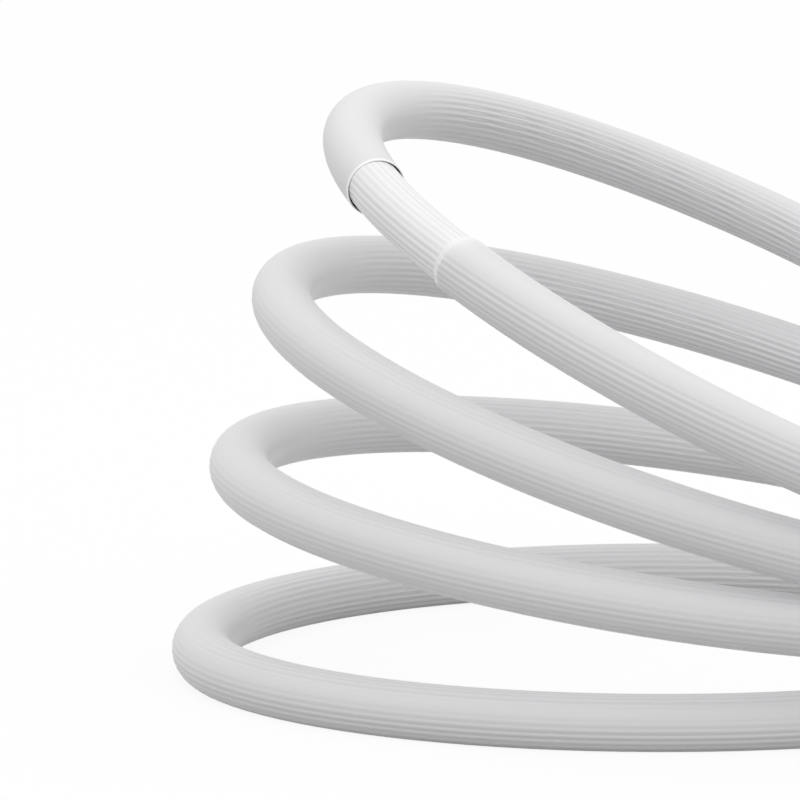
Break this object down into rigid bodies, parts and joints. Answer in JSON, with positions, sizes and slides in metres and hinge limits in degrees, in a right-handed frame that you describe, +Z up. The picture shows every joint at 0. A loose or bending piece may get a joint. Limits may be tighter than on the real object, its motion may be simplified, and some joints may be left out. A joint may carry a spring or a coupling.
{
  "type": "vacuum hose",
  "caption": "Coiled two-layer pool vacuum hose with a window in its outer jacket, a free-turning swivel cuff on one end and a plain push-on cuff on the other.",
  "frame": {"origin": "on the floor, under the middle of the part's box", "axes": "+X from the coil towards both ends of the hose, +Y towards the back of the coil, +Z up from the floor that the bottom loop and both cuffs lie on"},
  "size_m": [1.2302, 0.7884, 0.4472],
  "materials": {
    "inner_plastic": "smooth white plastic with lengthwise ribs",
    "jacket_plastic": "satin pale grey plastic with faint lengthwise lines",
    "cuff_plastic": "satin pale grey moulded plastic",
    "collar_plastic": "satin grey moulded plastic",
    "ring_plastic": "dark grey slippery plastic",
    "seal_rubber": "dark flat rubber"
  },
  "bodies": {
    "hose": {"inner_hose": "inner_plastic", "outer_jacket_lower": "jacket_plastic", "outer_jacket_upper": "jacket_plastic", "plain_cuff": "cuff_plastic", "swivel_collar": "collar_plastic"},
    "swivel": {"swivel_cuff": "cuff_plastic", "swivel_retaining_ring": "ring_plastic", "swivel_seal": "seal_rubber"}
  },
  "joints": [
    {"name": "swivel_turn", "type": "hinge", "parent": "hose", "child": "swivel", "pos_m": [0.15091, -0.30561, 0.02993], "axis": [1, 0, 0], "continuous": true}
  ]
}
